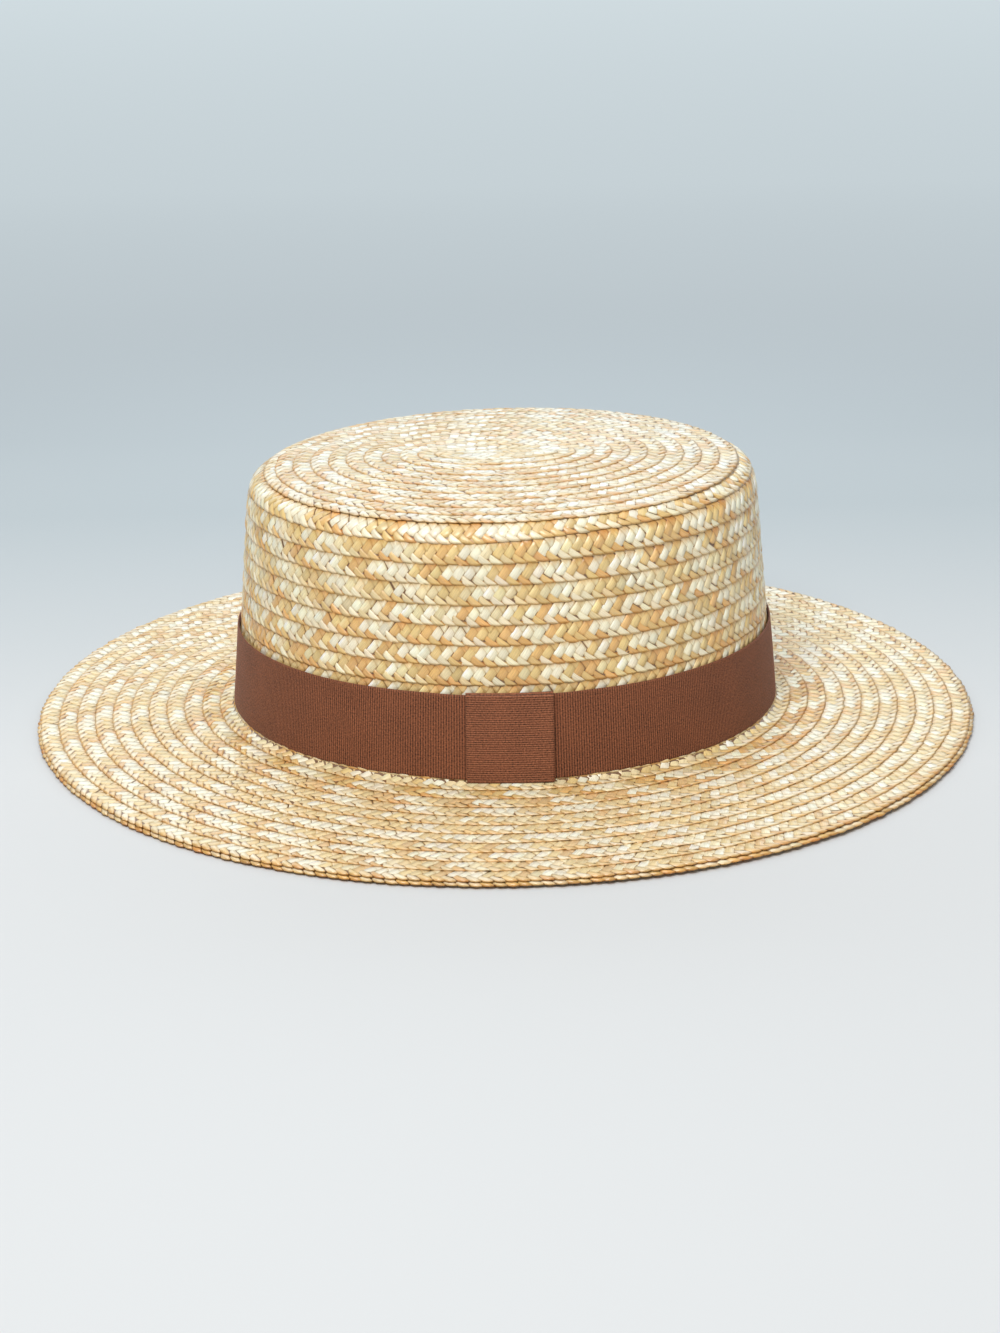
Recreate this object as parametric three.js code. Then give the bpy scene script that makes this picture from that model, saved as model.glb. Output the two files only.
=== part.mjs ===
// A straw boater hat: a stiff oval crown with a nearly flat tip, a flat round-oval brim,
// a doubled rim and a ribbed ribbon with one short flat loop round it.
// Units are millimetres, +Z is up. The origin is at the middle of the brim on the plane
// that the hat rests on. X runs along the long axis of the head oval, the ribbon loop is
// on the -Y side.
import * as THREE from 'three';
import { mergeVertices } from 'three/addons/utils/BufferGeometryUtils.js';

// ---------------------------------------------------------------- driving sizes
const BASE_LONG = 98.2;        // half length of the crown oval at its foot, at the braid's low line
const BASE_WIDE = 84.3;        // half width of the crown oval at its foot
const BRIM_LONG = 171.3;       // half length over the rim
const BRIM_WIDE = 159.3;       // half width over the rim
const TIP_R = 77.8;            // mean radius of the edge of the tip
const SHOULDER_R = 83.75;      // mean radius at the top of the side
const TIP_EDGE_Z = 92.4;       // height of the edge of the tip
const SHOULDER_Z = 86.5;       // height of the top of the side
const TIP_RISE = 3.0;          // the tip is this much higher in its middle
const FOOT_Z = 5.1;            // lower edge of the crown
const FOLD_R = 8.5;            // mean radius inside which the rows close to a straight fold

const TIP_ROWS = 12;           // rows of braid on the tip
const SIDE_ROWS = 12;          // rows of braid on the side
const BRIM_ROWS = 11;          // rows of braid on the brim
const ROW_STEP = 0.9;          // how far the free edge of a row stands over the next one
const BRIM_STEP = 0.7;
const CROWN_WALL = 1.8;        // straw wall under the low line of the rows
const BRIM_WALL = 1.3;
const BRIM_IN_Z = 4.7;         // low line of the brim's rows at the crown
const BRIM_OUT_Z = 2.9;        // low line of the brim's rows at the rim
const COLLAR_Z = 9.5;          // top of the collar inside the crown
const COLLAR_WALL = 1.6;
const GAP = 0.3;               // between pieces that touch

const EDGE_WIDTH = 8.0;        // braid under the rim
const EDGE_THICK = 1.3;
const EDGE_PROUD = 1.3;        // it shows this much past the row above

const RIBBON_THICK = 1.0;
const RIBBON_Z0 = 7.4;         // lower edge of the band
const RIBBON_Z1 = 36.3;        // upper edge of the band
const LOOP_WIDTH = 30.0;       // width of the ribbon loop
const LOOP_X = 1.9;            // middle of the loop along X
const BULGE_FLAT = 17.5;       // the band stands off the crown this far each side of the loop's middle
const BULGE_END = 34.0;        // and is back on the crown here

const SEGMENTS = 48;           // round the straw
const RIBBON_SEGMENTS = 112;   // round the ribbon

const BASE_R = (BASE_LONG + BASE_WIDE) / 2;
const RIM_R = (BRIM_LONG + BRIM_WIDE) / 2;

// ---------------------------------------------------------------- the oval
// Half the difference between the two half axes, by mean radius.
const OVALITY = [
  { r: 0, e: 0 },
  { r: FOLD_R, e: 7.0 },
  { r: BASE_R, e: (BASE_LONG - BASE_WIDE) / 2 },
  { r: RIM_R, e: (BRIM_LONG - BRIM_WIDE) / 2 },
  { r: 2 * RIM_R, e: (BRIM_LONG - BRIM_WIDE) / 2 },
];

function ovality(r) {
  for (let i = 1; i < OVALITY.length; i++) {
    const a = OVALITY[i - 1], b = OVALITY[i];
    if (r <= b.r) return a.e + (b.e - a.e) * (r - a.r) / (b.r - a.r);
  }
  return OVALITY[OVALITY.length - 1].e;
}

function onOval(r, angle, z) {
  const e = ovality(r);
  return new THREE.Vector3((r + e) * Math.cos(angle), (r - e) * Math.sin(angle), z);
}

// Joins the vertices, drops empty triangles and turns the faces outward.
function closed(geometry) {
  geometry.deleteAttribute('normal');
  geometry.deleteAttribute('uv');
  const merged = mergeVertices(geometry, 1e-3);
  const p = merged.getAttribute('position');
  const index = merged.getIndex().array;
  const keep = [];
  let volume = 0;
  const a = new THREE.Vector3(), b = new THREE.Vector3(), c = new THREE.Vector3();
  for (let i = 0; i < index.length; i += 3) {
    const [i0, i1, i2] = [index[i], index[i + 1], index[i + 2]];
    if (i0 === i1 || i1 === i2 || i2 === i0) continue;
    keep.push(i0, i1, i2);
    a.fromBufferAttribute(p, i0); b.fromBufferAttribute(p, i1); c.fromBufferAttribute(p, i2);
    volume += a.dot(b.cross(c));
  }
  if (volume < 0) {
    for (let i = 0; i < keep.length; i += 3) [keep[i + 1], keep[i + 2]] = [keep[i + 2], keep[i + 1]];
  }
  merged.setIndex(keep);
  merged.computeVertexNormals();
  return merged;
}

// Turns a profile of mean radius and height round the oval.
function turned(profile, segments) {
  const g = new THREE.LatheGeometry(profile.map((q) => new THREE.Vector2(q.r, q.z)), segments);
  g.rotateX(Math.PI / 2);
  const p = g.getAttribute('position');
  for (let i = 0; i < p.count; i++) {
    const r = Math.hypot(p.getX(i), p.getY(i));
    const v = onOval(r, Math.atan2(p.getY(i), p.getX(i)), p.getZ(i));
    p.setXYZ(i, v.x, v.y, v.z);
  }
  return closed(g);
}

// ---------------------------------------------------------------- guide lines
const tipZ = (r) => TIP_EDGE_Z + TIP_RISE * (1 - Math.pow(r / TIP_R, 3.5));
const sideR = (z) => SHOULDER_R + (BASE_R - SHOULDER_R) * (SHOULDER_Z - z) / (SHOULDER_Z - FOOT_Z);
const brimZ = (r) => BRIM_IN_Z + (BRIM_OUT_Z - BRIM_IN_Z) * (r - BASE_R) / (RIM_R - BASE_R);

// Rows of braid between two places on a guide line: every row starts on the line, under
// the row before it, and its free edge stands off the line by `step`.
function rows(count, at, from, to, step) {
  const out = [];
  for (let i = 0; i < count; i++) {
    const t0 = from + (to - from) * i / count;
    const t1 = from + (to - from) * (i + 1) / count;
    const p0 = at(t0), p1 = at(t1);
    const d = new THREE.Vector2(p1.r - p0.r, p1.z - p0.z).normalize();
    out.push({ r: p0.r, z: p0.z });
    out.push({ r: p1.r - d.y * step, z: p1.z + d.x * step });
  }
  return out;
}

// ---------------------------------------------------------------- crown
function crownProfile() {
  const tip = rows(TIP_ROWS, (r) => ({ r, z: tipZ(r) }), 0, TIP_R, ROW_STEP);
  const shoulder = [
    { r: TIP_R, z: TIP_EDGE_Z },
    { r: TIP_R + 3.9, z: TIP_EDGE_Z - 1.9 },
    { r: SHOULDER_R + 0.8, z: SHOULDER_Z + 0.4 },
  ];
  const side = rows(SIDE_ROWS, (z) => ({ r: sideR(z), z }), SHOULDER_Z, FOOT_Z, ROW_STEP);
  side[side.length - 1].z = FOOT_Z;
  const inside = [
    { r: sideR(FOOT_Z) - CROWN_WALL, z: FOOT_Z },
    { r: SHOULDER_R - CROWN_WALL, z: SHOULDER_Z - 0.8 },
    { r: TIP_R + 0.6, z: TIP_EDGE_Z - CROWN_WALL - 0.6 },
    { r: 0.75 * TIP_R, z: tipZ(0.75 * TIP_R) - CROWN_WALL },
    { r: 0.4 * TIP_R, z: tipZ(0.4 * TIP_R) - CROWN_WALL },
    { r: 0, z: tipZ(0) - CROWN_WALL },
  ];
  return [...tip, ...shoulder, ...side, ...inside];
}

// ---------------------------------------------------------------- brim
function brimProfile() {
  const outR = RIM_R - EDGE_PROUD;
  const collarOut = (z) => sideR(z) - CROWN_WALL - GAP;
  const bendZ = BRIM_IN_Z - 0.4;
  const top = rows(BRIM_ROWS, (r) => ({ r, z: brimZ(r) }), BASE_R + 0.4, outR, BRIM_STEP);
  const profile = [
    { r: collarOut(COLLAR_Z) - COLLAR_WALL, z: COLLAR_Z },
    { r: collarOut(COLLAR_Z), z: COLLAR_Z },
    { r: collarOut(bendZ), z: bendZ + 0.2 },
    ...top,
    { r: outR, z: brimZ(outR) - BRIM_WALL },
    { r: BASE_R + 20, z: brimZ(BASE_R + 20) - BRIM_WALL },
    { r: BASE_R + 2, z: brimZ(BASE_R) - BRIM_WALL },
    { r: collarOut(bendZ) - COLLAR_WALL * 0.6, z: bendZ - 0.4 },
    { r: collarOut(bendZ) - COLLAR_WALL, z: bendZ + 1.4 },
  ];
  return [...profile, profile[0]];
}

function edgeProfile() {
  const r0 = RIM_R - EDGE_WIDTH;
  const profile = [
    { r: r0, z: 0 },
    { r: RIM_R - 0.5, z: 0 },
    { r: RIM_R, z: 0.45 },
    { r: RIM_R - 0.2, z: EDGE_THICK },
    { r: r0 + 0.4, z: EDGE_THICK },
  ];
  return [...profile, profile[0]];
}

// ---------------------------------------------------------------- ribbon
const BAND_IN = ROW_STEP + GAP;                    // inner face of the band over the low line
const BULGE = RIBBON_THICK + GAP;                  // room for the back of the loop

function bulge(x, y) {
  if (y > 0) return 0;
  const d = Math.abs(x - LOOP_X);
  if (d <= BULGE_FLAT) return BULGE;
  if (d >= BULGE_END) return 0;
  const t = (BULGE_END - d) / (BULGE_END - BULGE_FLAT);
  return BULGE * t * t * (3 - 2 * t);
}

function bandGeometry() {
  const face = (z, off) => ({ r: sideR(z) + off, z });
  const profile = [
    face(RIBBON_Z0, BAND_IN), face(RIBBON_Z0, BAND_IN + RIBBON_THICK),
    face(RIBBON_Z1, BAND_IN + RIBBON_THICK), face(RIBBON_Z1, BAND_IN),
  ];
  const g = turned([...profile, profile[0]], RIBBON_SEGMENTS);
  const p = g.getAttribute('position');
  for (let i = 0; i < p.count; i++) p.setY(i, p.getY(i) - bulge(p.getX(i), p.getY(i)));
  g.computeVertexNormals();
  return g;
}

// The loop is a flat ring of ribbon in the plane of height and thickness, as wide as the
// ribbon, bent to follow the front of the crown.
function loopGeometry() {
  const in0 = BAND_IN, in1 = in0 + RIBBON_THICK;                 // back leg
  const out0 = in1 + RIBBON_THICK + 2 * GAP, out1 = out0 + RIBBON_THICK; // front leg
  const z0 = RIBBON_Z0 - GAP - RIBBON_THICK, z1 = RIBBON_Z1 + GAP + RIBBON_THICK;
  const c = 0.5;                                                  // small chamfer on the folds
  const outer = new THREE.Shape();
  outer.moveTo(in0, z0 + c); outer.lineTo(in0 + c, z0); outer.lineTo(out1 - c, z0);
  outer.lineTo(out1, z0 + c); outer.lineTo(out1, z1 - c); outer.lineTo(out1 - c, z1);
  outer.lineTo(in0 + c, z1); outer.lineTo(in0, z1 - c); outer.closePath();
  const hole = new THREE.Path();
  hole.moveTo(in1, z0 + RIBBON_THICK); hole.lineTo(out0, z0 + RIBBON_THICK);
  hole.lineTo(out0, z1 - RIBBON_THICK); hole.lineTo(in1, z1 - RIBBON_THICK); hole.closePath();
  outer.holes.push(hole);
  const g = new THREE.ExtrudeGeometry(outer, { depth: LOOP_WIDTH, steps: 8, bevelEnabled: false });
  const p = g.getAttribute('position');
  for (let i = 0; i < p.count; i++) {
    const off = p.getX(i), z = p.getY(i), x = LOOP_X - LOOP_WIDTH / 2 + p.getZ(i);
    const r = sideR(z), e = ovality(r);
    const y = -(r - e) * Math.sqrt(Math.max(0, 1 - (x / (r + e)) ** 2)) - off;
    p.setXYZ(i, x, y, z);
  }
  return closed(g);
}

// ---------------------------------------------------------------- materials and scene
const straw = () => new THREE.MeshStandardMaterial({ color: 0xe3c48c, roughness: 0.55, metalness: 0 });
const ribbon = () => new THREE.MeshStandardMaterial({ color: 0x7a4930, roughness: 0.8, metalness: 0 });

function piece(name, geometry, material) {
  const mesh = new THREE.Mesh(geometry, material);
  mesh.name = name;
  return mesh;
}

const hat = new THREE.Group();
const strawParts = new THREE.Group();
const ribbonParts = new THREE.Group();
strawParts.add(piece('crown', turned(crownProfile(), SEGMENTS), straw()));
strawParts.add(piece('brim', turned(brimProfile(), SEGMENTS), straw()));
strawParts.add(piece('brim_edge_braid', turned(edgeProfile(), SEGMENTS), straw()));
ribbonParts.add(piece('ribbon_band', bandGeometry(), ribbon()));
ribbonParts.add(piece('ribbon_loop', loopGeometry(), ribbon()));
hat.add(strawParts, ribbonParts);

export default hat;
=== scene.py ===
# A straw boater hat. The straw is one long flat plait, laid in a spiral from the middle of
# the tip over the side to the rim, each turn lying over the next. The plait is real
# geometry: every splint is a few faces along its own slant, with its free edge, its
# grooves and its back.
import math

import bpy
import numpy as np
from mathutils import Matrix, Vector

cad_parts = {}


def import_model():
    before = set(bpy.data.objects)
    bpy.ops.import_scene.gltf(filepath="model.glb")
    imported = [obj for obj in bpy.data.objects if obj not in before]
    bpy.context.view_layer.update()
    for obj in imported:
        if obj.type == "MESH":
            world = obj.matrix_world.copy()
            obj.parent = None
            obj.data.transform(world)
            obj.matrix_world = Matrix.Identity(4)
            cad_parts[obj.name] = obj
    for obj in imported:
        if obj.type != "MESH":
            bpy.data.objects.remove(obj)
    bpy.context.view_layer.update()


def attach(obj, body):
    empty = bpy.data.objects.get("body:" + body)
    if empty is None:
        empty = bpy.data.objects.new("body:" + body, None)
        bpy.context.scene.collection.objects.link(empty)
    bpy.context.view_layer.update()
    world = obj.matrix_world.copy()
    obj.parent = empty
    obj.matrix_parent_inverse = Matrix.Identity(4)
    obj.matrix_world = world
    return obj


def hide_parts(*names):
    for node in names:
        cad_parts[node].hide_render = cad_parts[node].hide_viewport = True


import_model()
MM = 0.001

# ------------------------------------------------------------------ camera
FOCAL_PX = 2705.5          # focal length in pixels of the 1000 x 1333 frame
CAM_AT = (-1.7, -931.5, 369.4)
CAM_PITCH = 20.84          # degrees down
CAM_ROLL = -0.94

cam_data = bpy.data.cameras.new("camera")
cam = bpy.data.objects.new("camera", cam_data)
bpy.context.scene.collection.objects.link(cam)
cam_data.sensor_width = 36.0
cam_data.lens = FOCAL_PX * 36.0 / 1333.0
cam_data.clip_start, cam_data.clip_end = 0.01, 20.0
p, q = math.radians(CAM_PITCH), math.radians(CAM_ROLL)
ahead = Vector((0, math.cos(p), -math.sin(p)))
right0 = Vector((1, 0, 0))
up0 = right0.cross(ahead)
right = math.cos(q) * right0 + math.sin(q) * up0
up = -math.sin(q) * right0 + math.cos(q) * up0
m = Matrix((right, up, -ahead)).transposed().to_4x4()
m.translation = Vector(CAM_AT) * MM
cam.matrix_world = m
bpy.context.scene.camera = cam

# ------------------------------------------------------------------ sizes, mm
FOLD_R = 7.05              # mean radius where the tip's rows close to a straight fold
TIP_R, TIP_Z, TIP_RISE = 77.8, 92.6, 3.0
SHOULDER_R, SHOULDER_Z = 83.5, 87.2
CROWN_TOP_R, CROWN_TOP_Z = 83.75, 86.5
BASE_R, FOOT_Z = 91.25, 5.1
RIM_R = 165.3
BRIM_IN_Z, BRIM_OUT_Z = 4.7, 2.0
TOP_RIM_R = 164.1          # edge of the last row that shows
OVAL = ((0.0, 7.0), (BASE_R, 6.95), (RIM_R, 6.0), (300.0, 6.0))   # mean radius, half axis difference

WIDTH = 9.0                # of the plait
CELL = 3.80                # one splint along the plait
TIP_PITCH = 6.38
SIDE_PITCH = 7.0
BRIM_PITCH = 6.6
SHOULDER_PITCH = 7.6
LIFT = 0.8                 # one thickness of plait
FORK = math.radians(-38)   # where the last row of the tip runs under its own beginning
STEP_AT, STEP_SPAN = math.radians(150), 1 / 3   # each row steps out to the next one at the back
WAVE, WAVE_AT = 0.35, math.radians(-52)   # the rim's slow rise and fall
LEAN = 0.0160              # the tip stands a little higher at +X

STRANDS = 7
SEED = 11


# ------------------------------------------------------------------ guide line
def side_r(z):
    return CROWN_TOP_R + (BASE_R - CROWN_TOP_R) * (CROWN_TOP_Z - z) / (CROWN_TOP_Z - FOOT_Z)


def guide():
    """Arc length, radius, height and normal along the section of the hat, from the tip's middle to past the rim."""
    r = np.arange(0, TIP_R, 0.25)
    z = TIP_Z + TIP_RISE * (1 - (r / TIP_R) ** 3.5)
    pts = list(zip(r, z))
    pts += [(TIP_R, TIP_Z), (TIP_R + 3.3, TIP_Z - 1.7), (SHOULDER_R, SHOULDER_Z)]
    pts += [(side_r(v), v) for v in (80.0, 60.0, 40.0, 20.0, 8.4)]
    pts += [(BASE_R + 0.9, 5.6), (BASE_R + 3.4, BRIM_IN_Z)]
    for rr in np.linspace(BASE_R + 8, RIM_R + 12, 8):
        pts.append((rr, BRIM_IN_Z + (BRIM_OUT_Z - BRIM_IN_Z) * (rr - BASE_R) / (RIM_R - BASE_R)))
    pts = np.array(pts)
    s = np.r_[0, np.cumsum(np.hypot(*np.diff(pts, axis=0).T))]
    t = np.arange(0, s[-1], 0.1)
    r, z = np.interp(t, s, pts[:, 0]), np.interp(t, s, pts[:, 1])
    k = np.exp(-0.5 * (np.arange(-40, 41) / 12.0) ** 2)
    k /= k.sum()
    rp = np.r_[-r[40:0:-1], r, r[-1] + (r[-1] - r[-2]) * np.arange(1, 41)]
    zp = np.r_[z[40:0:-1], z, z[-1] + (z[-1] - z[-2]) * np.arange(1, 41)]
    r, z = np.convolve(rp, k, "valid"), np.convolve(zp, k, "valid")
    s = np.r_[0, np.cumsum(np.hypot(np.diff(r), np.diff(z)))]
    dr, dz = np.gradient(r, s), np.gradient(z, s)
    n = np.hypot(dr, dz)
    return s, r, z, -dz / n, dr / n


G_S, G_R, G_Z, G_NR, G_NZ = guide()
S_FOLD = float(np.interp(FOLD_R, G_R[:700], G_S[:700]))
S_TIP = float(np.interp(TIP_R, G_R, G_S))
S_SHOULDER = S_TIP + SHOULDER_PITCH
S_RIM = float(np.interp(TOP_RIM_R, G_R, G_S))
S_FOOT = float(G_S[np.argmin(np.abs(G_Z - 6.0) + (G_R > BASE_R + 2) * 100)])


def oval_e(r):
    return np.interp(r, [a for a, _ in OVAL], [b for _, b in OVAL])


def place(sigma, theta, h):
    """Points over the guide line: arc length, angle round the oval, height over the line."""
    r = np.interp(sigma, G_S, G_R)
    z = np.interp(sigma, G_S, G_Z)
    r = np.maximum(r + h * np.interp(sigma, G_S, G_NR), FOLD_R)
    z = z + h * np.interp(sigma, G_S, G_NZ)
    e = oval_e(r)
    u = np.clip((r - BASE_R) / (RIM_R - BASE_R), 0, 1.1)
    z = z + WAVE * (1 + np.cos(2 * (theta - WAVE_AT))) * u ** 2
    z = z + LEAN * r * np.cos(theta) * np.clip((z - 20) / 70, 0, 1)
    return np.stack([(r + e) * np.cos(theta), (r - e) * np.sin(theta), z], -1)


# ------------------------------------------------------------------ the plait
# The splints run on a slant to one side, fold and run back on the other slant. Three zones
# show, each a row of four-sided facets that interlock with the next zone: C under the
# row above, A in the middle, B at the free edge, where the splints fold round it.
SLANT_C, SLANT_A, SLANT_B = -0.184, 0.184, -0.30     # splints along, for each mm across
JOIN_CA, JOIN_AB = 3.40, 6.40                        # mm across, mean line between zones
TEETH_CA = 1 / (SLANT_A - SLANT_C)                   # mm, how far the zones reach into each other
TEETH_AB = 1 / (SLANT_A - SLANT_B)
PHASE_C = (SLANT_A - SLANT_C) * (JOIN_CA + TEETH_CA / 2) - 1
PHASE_B = (SLANT_A - SLANT_B) * (JOIN_AB + TEETH_AB / 2) - 1
RELIEF = 0.29
CREVICE_SHADE = (0.20, 0.10, 0.042)     # painted shade: dark brown of the plait deep between its splints, where shade falls


class Spiral:
    """A plait along T turns: edge(T) is the arc length of its free edge on the guide line, lift(T) its height over it."""

    def __init__(self, turns, start, edge, lift, big=lambda t: 0 * t, rise=lambda t: 0 * t, comb=lambda t: 1 + 0 * t,
                 meet=lambda t: 0 * t):
        self.turns, self.start, self.edge, self.lift, self.big = turns, start, edge, lift, big
        # comb also sets how strong the painted shade is in slits, holes and at the free edge, and how much it is
        # softened on the facets' sides
        self.rise, self.comb = rise, comb         # height of the hidden side, depth of the slits between splints there
        self.meet = meet                          # how far the hidden side is drawn in at the middle fold
        t = np.linspace(-0.05, turns + 0.05, int(turns * 3000))
        pts = place(self.at(t, WIDTH * 0.55), self.angle(t), 0.0)
        length = np.r_[0, np.cumsum(np.linalg.norm(np.diff(pts, axis=0), axis=1))]
        self.t, self.s = t, length - np.interp(0, t, length)
        self.length = float(np.interp(turns, t, self.s))
        self.cells = int(self.length / CELL)
        self.cell = self.length / self.cells

    def angle(self, t):
        return self.start - 2 * np.pi * t

    def at(self, t, v):
        edge = self.edge(t)
        squeeze = np.clip((edge - S_FOLD) / WIDTH, 0.05, 1)
        v = v - self.meet(t) * np.clip(1 - v / 4.0, 0, 1)
        return edge - (WIDTH - v) * squeeze

    def turn(self, s):
        return np.interp(s, self.s, self.t)


def tones(cells, rng):
    """Colour of every splint on the outer and inner leg of the plait, from the straws that make it."""
    kinds = np.array([
        (0.940, 0.890, 0.690),   # cream white
        (0.860, 0.735, 0.445),   # pale straw
        (0.800, 0.595, 0.265),   # golden
        (0.755, 0.470, 0.180),   # tan
    ])
    chance = np.array([0.34, 0.22, 0.30, 0.14])
    straw = np.zeros((STRANDS, cells + 20), int)
    shade = np.ones((STRANDS, cells + 20))
    for k in range(STRANDS):
        i = 0
        while i < cells + 20:
            n = int(rng.integers(45, 130))
            if k < 3:
                kind = rng.choice(4, p=[0.76, 0.18, 0.05, 0.01])
            else:
                kind = rng.choice(4, p=[0.08, 0.22, 0.48, 0.22])
            straw[k, i:i + n] = kind
            shade[k, i:i + n] = rng.uniform(0.92, 1.06)
            i += n
    i = np.arange(cells)
    out = []
    for offset in (0, 1, 0):
        k = (i + offset) % STRANDS
        c = kinds[straw[k, i + offset]] * shade[k, i + offset][:, None]
        c = c * rng.normal(1.0, 0.055, (cells, 1)) * (1 + rng.normal(0, 0.012, (cells, 3)))
        out.append(np.clip(c, 0.02, 0.97))
    return out


def low_top(v):
    """Top of the plait between its splints, over the guide line."""
    return np.interp(v, (0.0, 2.0, 5.0, 8.3, 9.1), (-0.20, 0.0, 0.14, 0.34, 0.16))


def low_under(v):
    return np.interp(v, (0.0, 2.0, 5.0, 8.0, 9.1), (-0.52, -0.60, -0.42, 0.0, 0.14))


def facet_zone(zone, n, rng, big, comb):
    """Grid of one facet: splints along, mm across, height, shade, place along the splint; all (n, na, nb)."""
    j = rng.normal(0, 1, (n, 8))[:, :, None, None]
    if zone in "AC":
        a = np.array([-0.02, 0.04, 0.50, 0.95, 1.02])
        fa = np.array([-0.05, 0.92, 1.0, 0.86, -0.15])
        sa = np.array([0.55, 0.96, 1.0, 1.0, 0.60])
    elif zone == "B":
        a = np.array([-0.02, 0.09, 0.50, 0.91, 1.02])
        fa = np.array([-0.10, 0.88, 1.0, 0.82, -0.20])
        sa = np.array([0.60, 0.96, 1.0, 0.93, 0.56])
    else:
        a = np.array([-0.02, 0.5, 1.02])
        fa = np.array([0.0, 1.0, 0.0])
        sa = np.array([0.65, 1.0, 0.65])
    if zone == "C":
        a = np.array([-0.02, 0.10, 0.50, 0.87, 1.02])
    A = a[None, :, None]
    if zone == "A":
        b = np.array([-0.13, 0.08, 0.5, 0.92, 1.12])
        gb = np.array([-0.35, 0.80, 1.0, 0.85, -0.35])
        sb = np.array([0.55, 0.93, 1.0, 0.95, 0.55])
        top = JOIN_CA + TEETH_CA * (0.5 - A) + 0.17 * j[:, 0]
        bot = JOIN_AB + TEETH_AB * (0.5 - A) + 0.16 * j[:, 1]
        # the low corner stays clear of the next zone and leaves a small hole
        bot = bot - np.clip(0.65 + 0.45 * j[:, 6], 0.1, 1.2) * (0.35 + 0.45 * comb) * np.array([1.25, 0.9, 0, 0, 0])[None, :, None]
        V = top + (bot - top) * b[None, None, :]
        S = 0.5 + (A - 0.5) * (1 - 0.06 * np.abs(j[:, 7])) + (SLANT_A + 0.010 * j[:, 6]) * (V - 4.9) + SLANT_A * 4.9
        low = low_top(V)
        R = RELIEF * (1 + 0.10 * j[:, 2])
    elif zone == "C":
        b = np.array([0.0, 0.5, 0.90, 1.10])
        gb = np.array([0.2, 0.9, 0.85, -0.35])
        sb = np.array([0.9, 1.0, 0.95, 0.55])
        top = 0.5 + 0 * A
        bot = JOIN_CA + TEETH_CA * (A - 0.5) + 0.10 * j[:, 1]
        V = top + (bot - top) * b[None, None, :]
        S = 0.5 + (A - 0.5) * (1 - 0.06 * np.abs(j[:, 7])) + PHASE_C + SLANT_C * V
        low = low_top(V)
        R = RELIEF * 0.9 * (1 + 0.10 * j[:, 2]) * np.clip((V - 0.6) / 1.6, 0, 1)
    elif zone == "B":
        top = JOIN_AB + TEETH_AB * (A - 0.5) + 0.12 * j[:, 0]
        loop = (1 - (2 * A - 1) ** 4) * (0.36 + 0.10 * j[:, 1] + 0.5 * big) + 0.10 * j[:, 6] - 0.25 * big
        rows = [top - 0.30, top + 0.25, 8.20 + 0 * A + 0 * top, 8.84 + loop, 8.78 + loop, 7.5 + 0 * A + 0 * top]
        V = np.concatenate(rows, -1)
        b = np.array([0.0, 0.15, 0.5, 0.75, 0.85, 1.0])
        gb = np.array([-0.35, 0.85, 1.05, 0.62, 0.0, 0.0])
        sb = np.array([0.52, 0.95, 1.0, 0.92, 0.78, 0.6])
        Q = np.concatenate([rows[0], rows[1], rows[2], rows[3], 18.0 - rows[4], 18.0 - rows[5]], -1)
        taper = np.clip(0.18 + 0.12 * j[:, 7] + 0.14 * comb, 0, 0.5) * np.array([1.0, 0.85, 0.1, 0.0, 0.0, 0.0])[None, None, :]
        S = 0.5 + (A - 0.5) * (1 - taper) + PHASE_B + SLANT_B * np.minimum(Q, 9.0) - 0.18 * np.maximum(Q - 9.0, 0)
        low = low_top(V)
        # the rim's fold is thicker
        low = np.concatenate([low[..., :3], low[..., 3:4] + 0.06 - 0.16 * big, low_under(V[..., 4:5]) - 0.10 - 0.55 * big,
                              low_under(V[..., 5:6]) + 0.05 - 0.40 * big], -1)
        R = RELIEF * 1.08 * (1 + 0.12 * j[:, 2])
    else:                       # facets of the underside, by their span across
        v0, v1, slant = {"U": (8.3, 5.2, 0.2), "V": (5.6, 2.6, -0.184), "W": (3.0, 0.3, 0.184)}[zone]
        b = np.array([0.0, 0.5, 1.0])
        gb = np.array([0.0, 1.0, 0.0])
        sb = np.array([0.65, 1.0, 0.65])
        V = v0 + (v1 - v0) * b[None, None, :] + 0.7 * (A - 0.5) * (1 if slant > 0 else -1) + 0 * j[:, 0]
        S = A + slant * V
        low = low_under(V)
        R = -0.24 * (1 + 0.12 * j[:, 2])
    S = S + 0.03 * j[:, 3]
    F = fa[None, :, None] * np.where(gb > 0, gb, 1.0)[None, None, :] + np.where(gb < 0, gb - 0.3, 0.0)[None, None, :]
    F = np.where((fa[None, :, None] < 0.2) & (gb[None, None, :] > 0), fa[None, :, None] + 0 * F, F)
    mid = (fa[None, :, None] > 0.2) & (gb[None, None, :] > 0.3)
    tilt = mid * (0.075 * j[:, 4] * (A - 0.5) * 2 + 0.06 * j[:, 5] * (b[None, None, :] - 0.5) * 2 + 0.03 * j[:, 6])
    H = low + R * F + tilt
    # painted shade: each facet darker towards its sides and ends, where it dips under its neighbours
    shade = sa[None, :, None] * sb[None, None, :] + 0 * H
    if zone == "A":             # painted shade softened on brim and tip, with a painted highlight line along one side of some facets
        shade = shade + (1 - shade) * 0.40 * comb
        shade = shade * (1 + np.array([0, 0, 0, 1, 0.3])[None, :, None] * np.clip(0.04 + 0.10 * j[:, 6], 0, 0.22) * (2.1 - 1.1 * comb))
    if zone in "AC":            # painted shade close to the row above, under its edge
        shade = shade * (1 - (0.10 + 0.22 * comb) * np.clip((3.1 - V) / 0.8, 0, 1))
    if zone == "B":             # the free edge rolls under, with painted shade there, darker on brim and tip
        shade = shade * (1 - 0.22 * comb * np.array([0, 0, 0, 0.3, 1, 1])[None, None, :])
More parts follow.
